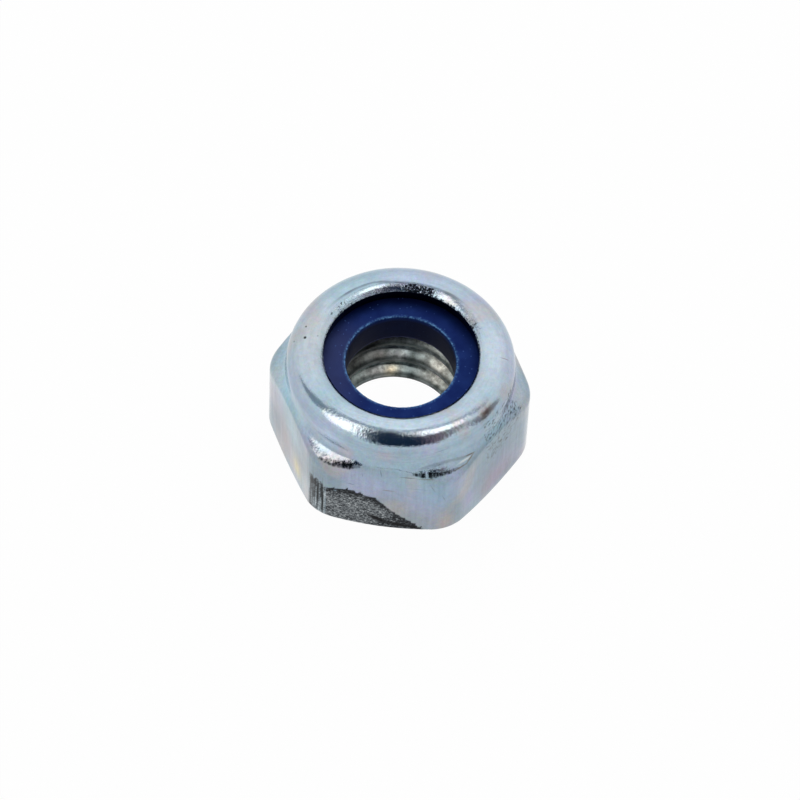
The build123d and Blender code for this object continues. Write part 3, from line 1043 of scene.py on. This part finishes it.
# painted shadow, painted lighter side and painted shade in the bore
for name, most in (("painted_lip_shadow", 0.62), ("pale", 0.60), ("bore", 0.85)):
    amounts[name] = scaled_mask(add, name, most)
specks = add("TexVoronoi", {"Vector": mm, "Scale": 4.2, "Randomness": 1.0}, feature="F1")
amounts["dust"] = add("MapRange", (specks, 0.06, 0.13, 0.9, 0.0))
burr_mask = add("Attribute", output="Fac", attribute_name="burr")
burr_grain = add("TexNoise", {"Vector": mm, "Scale": 12.0, "Detail": 2.0})
burr_break = add("MapRange", (burr_grain, 0.38, 0.62, 0.25, 1.5))
amounts["burr"] = add("Math", (burr_mask, burr_break), operation="MULTIPLY", use_clamp=True)
print("amounts:", ", ".join(amounts))

# %% Material: moulded blue nylon, its colour and gloss
mould_clouds = add("TexNoise", {"Vector": mm, "Scale": 1.3, "Detail": 3.0, "Roughness": 0.5})
nylon_colour = add("ValToRGB", (mould_clouds,))
set_stops(nylon_colour.node.color_ramp, ((0.35, "#142763"), (0.70, "#1f3676")))
for name, code in (
    # painted shadow under the far lip
    ("painted_lip_shadow", "#020a30"),
    # painted lighter left side
    ("pale", "#41486f"),
    ("dust", "#4c6bb0"),
    ("burr", "#6ea3dc"),
    # painted shade in the bore
    ("bore", "#020b2c"),
):
    coloured = {0: amounts[name], 6: nylon_colour, 7: colour(code)}
    nylon_colour = add("Mix", coloured, output=2, data_type="RGBA")
skin = add("TexNoise", {"Vector": mm, "Scale": 8.0, "Detail": 4.0, "Roughness": 0.6})
skin_bump = add("Bump", {"Height": skin, "Distance": 0.004 * MM, "Strength": 1.0})
plastic = {
    "Base Color": nylon_colour,
    "Roughness": 0.42,
    "IOR": 1.53,
    "Specular IOR Level": 0.02,
    "Normal": skin_bump,
}
add("OutputMaterial", {"Surface": add("BsdfPrincipled", plastic)})
nylon_ring.data.materials.append(nylon)
print("nylon:", len(nylon.node_tree.nodes), "nodes")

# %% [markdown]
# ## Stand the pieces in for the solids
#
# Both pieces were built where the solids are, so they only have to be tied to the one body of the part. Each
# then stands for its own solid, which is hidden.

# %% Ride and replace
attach(nut_body, "root")
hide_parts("nut_body")
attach(nylon_ring, "root")
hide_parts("nylon_ring")
print("tied to the part:", nut_body.name, "and", nylon_ring.name)

# %% [markdown]
# ## Floor
#
# The nut lies on a plain white table. A diffuse floor alone would turn grey in the bore, where hardly any
# light falls, so part of its white is shown directly to the rays that look at it: from the camera, and by way
# of metal or clear plastic. The rest is ordinary paint, which keeps the soft shadow.

# %% White floor
table_half = 3.0
signs = ((-1, -1), (1, -1), (1, 1), (-1, 1))
table_corners = [(right * table_half, back * table_half, 0.0) for right, back in signs]
table_mesh = bpy.data.meshes.new("table_top")
table_mesh.from_pydata(table_corners, [], [(0, 1, 2, 3)])
table = bpy.data.objects.new("table_top", table_mesh)
bpy.context.scene.collection.objects.link(table)
table_paint, add = new_material("white_table")
rays = add("LightPath").node.outputs
seen = add("Math", (rays["Is Camera Ray"], rays["Is Glossy Ray"]), operation="MAXIMUM")
seen_through = add("Math", (seen, rays["Is Transmission Ray"]), operation="MAXIMUM")
shown_white = add("Math", (seen_through, 0.975), operation="MULTIPLY")
paint = add("BsdfDiffuse", {"Color": colour("#fafafa")})
white = add("Emission", {"Color": colour("#ffffff"), "Strength": 1.0})
mixed = add("MixShader", (shown_white, paint, white))
add("OutputMaterial", {"Surface": mixed})
table_mesh.materials.append(table_paint)
print(f"table {2 * table_half:.0f} m wide")

# %% [markdown]
# ## The room
#
# Metal shows its surroundings, so the room is part of its look. Reflections see a pale room that is a little
# brighter overhead than at the table. What the room gives as light is dimmer, so that the lamp above makes
# the shadows, and the camera itself sees plain white.

# %% Room
room = bpy.data.worlds.new("pale_room")
room.use_nodes = True
room.node_tree.nodes.clear()
add = partial(add_node, room.node_tree)
rays = add("LightPath").node.outputs
seen = add("Math", (rays["Is Camera Ray"], rays["Is Transmission Ray"]), operation="MAXIMUM")
plain_strength = add("MapRange", (seen, 0.0, 1.0, 0.36, 1.0))
sky = add("TexCoord", output="Generated")
sky_height = add("SeparateXYZ", (sky,), output="Z")
sky_strength = add("MapRange", (sky_height, 0.0, 0.9, 0.94, 1.20))
strengths = {0: rays["Is Glossy Ray"], 2: plain_strength, 3: sky_strength}
room_strength = add("Mix", strengths, data_type="FLOAT")
background = add("Background", {"Color": colour("#ffffff"), "Strength": room_strength})
add("OutputWorld", {"Surface": background})
bpy.context.scene.world = room
print("room:", len(room.node_tree.nodes), "nodes")

# %% [markdown]
# ## The softbox
#
# One broad softbox hangs above and behind. Its light falls into the bore from the far side, so the far lip
# throws a soft shadow on the nylon. It is hidden from reflections, because its border would show as a line on
# the land. Places in the studio are given from the camera's side: an azimuth to the right, an angle from
# straight overhead and a distance.

# %% Softbox
camera_azimuth = math.radians(5.41)


def studio_place(azimuth, from_zenith, distance):
    """A point round the nut. Azimuth is in degrees from the camera's side, to the right."""
    turn, tilt = math.radians(azimuth) + camera_azimuth, math.radians(from_zenith)
    across, up = math.sin(tilt), math.cos(tilt)
    return Vector((math.sin(turn) * across, -math.cos(turn) * across, up)) * distance


def hang_lamp(name, kind, place, target):
    """A lamp that hangs at a place and shines at a target."""
    lamp = bpy.data.objects.new(name, bpy.data.lights.new(name, kind))
    lamp.location = place
    lamp.rotation_mode = "QUATERNION"
    lamp.rotation_quaternion = (target - place).to_track_quat("-Z", "Y")
    bpy.context.scene.collection.objects.link(lamp)
    return lamp


softbox_radiance = 2.10
softbox_size = (0.50, 0.42)
softbox = hang_lamp("softbox_above", "AREA", studio_place(180, 36, 0.50), Vector((0, 0, 0)))
softbox.data.shape = "RECTANGLE"
softbox.data.size, softbox.data.size_y = softbox_size
softbox.data.energy = softbox_radiance * math.pi * softbox_size[0] * softbox_size[1]
softbox.visible_glossy = False
print("softbox", round(softbox.data.energy, 3), "W")

# %% [markdown]
# ## A snoot into the bore
#
# Little of the softbox's light reaches the thread. A snoot is a lamp with a tube on it, which makes a narrow
# beam, and this one shines through the ring's bore alone. It lights the thread on the far side and nothing
# else.

# %% Snoot
ring_middle = Vector((0, 0, ring_top * MM))
snoot_distance = 0.25
beam_radius = 2.2 * MM  # in the plane of the ring's top, a little less than its bore
snoot = hang_lamp("snoot_into_bore", "SPOT", studio_place(10, 25, snoot_distance) + ring_middle, ring_middle)
snoot.data.energy = 0.58
snoot.data.shadow_soft_size = 0.001
snoot.data.spot_size = 2 * math.atan(beam_radius / snoot_distance)
snoot.data.spot_blend = 0.5
print("snoot", round(snoot.data.energy, 3), "W")

# %% [markdown]
# ## A light tent for the reflections
#
# Small shiny things are lit in a tent of white cloth, with a gap for the lens. The tent is what the round
# shoulder shows: two white panels, the dark gap between them, and the grey seams where the panels meet the
# back. Each cloth is a card hung round the nut and cut out as if on a plan of the ceiling, where a place is
# two angles in degrees from straight overhead, to the right and towards the camera. The cards show in
# reflections only, so they light no matt surface and throw no shadow. The nearer ones hide the farther ones.

# %% Helper: a card of the tent
def tent_card(name, tone, strength, distance, left_edge, right_edge):
    """A strip of cloth between two edges, each a list of places on the ceiling plan."""
    points = []
    for right, near in (*left_edge, *right_edge):
        points.append(studio_place(math.degrees(math.atan2(right, near)), math.hypot(right, near), distance))
    steps = len(left_edge)
    faces = [(i, i + 1, steps + i + 1, steps + i) for i in range(steps - 1)]
    mesh = bpy.data.meshes.new(name)
    mesh.from_pydata([tuple(point) for point in points], [], faces)
    card = bpy.data.objects.new(name, mesh)
    card.visible_diffuse = False
    card.visible_shadow = False
    card.visible_camera = False
    bpy.context.scene.collection.objects.link(card)
    cloth, add = new_material(name + "_cloth")
    glow = add("Emission", {"Color": colour(tone), "Strength": strength})
    add("OutputMaterial", {"Surface": glow})
    mesh.materials.append(cloth)


# %% Cards of the tent
cards = (
    # name, colour, strength, distance in metres, and the places along both edges: first the two white panels
    (
        ("panel_left", "#fff3ea", 2.7, 0.44),
        ((-34, 0), (-50, 11), (-56, 26), (-49, 39)),
        ((-10, -5), (-14, 8), (-21, 28), (-27, 49)),
    ),
    (
        ("panel_right", "#fff3ea", 2.6, 0.44),
        ((5, -5), (9, 10), (16, 20), (24, 27)),
        ((26, -2), (33, 4), (39, 12), (33, 22)),
    ),
    # the dark gap that the lens looks through, its paler left border, and the side where the tripod stands
    (
        ("lens_gap", "#1d2f44", 1.0, 0.36),
        ((-8, -4), (-15, 8), (-23, 28), (-29, 50), (-29, 68)),
        ((4, -4), (9, 10), (17, 24), (25, 40), (34, 66)),
    ),
    (
        ("gap_fringe", "#43566f", 1.0, 0.355),
        ((-10, 6), (-17, 12), (-24, 26), (-30, 44)),
        ((-5, -2), (-9, 8), (-13, 24), (-19, 40)),
    ),
    (
        ("tripod_side", "#978486", 1.0, 0.38),
        ((16, 21), (25, 41), (32, 66)),
        ((32, 14), (48, 33), (48, 58)),
    ),
    # the grey opening on the right, the dark hem of the cloth above it, and the seam along the back
    (
        ("side_gap", "#b0aaa8", 1.0, 0.37),
        ((52, 12), (62, 3), (74, -5), (92, -12)),
        ((57, 24), (66, 26), (80, 24), (96, 10)),
    ),
    (
        ("panel_hem", "#3c4249", 1.0, 0.365),
        ((35, 14), (48, 14), (60, 20), (74, 22), (88, 12), (97, 0)),
        ((37, 17), (49, 17), (62, 24), (77, 26), (92, 15), (101, 2)),
    ),
    (
        ("seam", "#a4acb4", 1.0, 0.35),
        ((-64, -22), (-50, -13), (-38, -9), (-27, -9), (-11, -16), (0, -11), (12, -14), (30, -9), (46, -6)),
        ((-62, 6), (-50, 12), (-38, 9), (-27, 4), (-13, -6), (0, -5), (12, -9), (30, -3), (46, 1)),
    ),
)
for cloth, left_edge, right_edge in cards:
    tent_card(*cloth, left_edge, right_edge)
print("tent hung from", len(cards), "cards")

# %% [markdown]
# ## Camera
#
# The nut is seen from about 54 degrees above the table through a long lens, so it has almost no perspective.
# The camera is rolled by three degrees, and aims a little below the middle of the nut. The focal length is
# first given in pixels of an 800 pixel wide picture, because that says directly how large a pixel is at the
# nut.

# %% Camera
camera_distance = 0.200
camera_elevation = 54.35
camera_roll = math.radians(3.04)
pixels_wide = 800
focal_pixels = 4726.0
middle_offset = (-0.7, 7.7)  # of the nut's middle from the picture's, to the right and up, in pixels
nut_middle = Vector((0, 0, nut_height / 2 * MM))
lens = bpy.data.cameras.new("camera")
lens.sensor_width = 36.0
lens.lens = focal_pixels / pixels_wide * lens.sensor_width
lens.clip_start, lens.clip_end = 0.01, 20.0
camera = bpy.data.objects.new("camera", lens)
back = studio_place(0, 90 - camera_elevation, 1)
turned = (-back).to_track_quat("-Z", "Y") @ Quaternion((0, 0, 1), camera_roll)
right, up = turned @ Vector((1, 0, 0)), turned @ Vector((0, 1, 0))
pixel = camera_distance / focal_pixels
off_middle = right * middle_offset[0] * pixel + up * middle_offset[1] * pixel
camera.rotation_mode = "QUATERNION"
camera.rotation_quaternion = turned
camera.location = nut_middle + back * camera_distance - off_middle
bpy.context.scene.collection.objects.link(camera)
bpy.context.scene.camera = camera
bpy.context.scene.view_settings.view_transform = "Standard"
print(f"lens {lens.lens:.1f} mm, camera {camera.location.length / MM:.0f} mm from the origin")
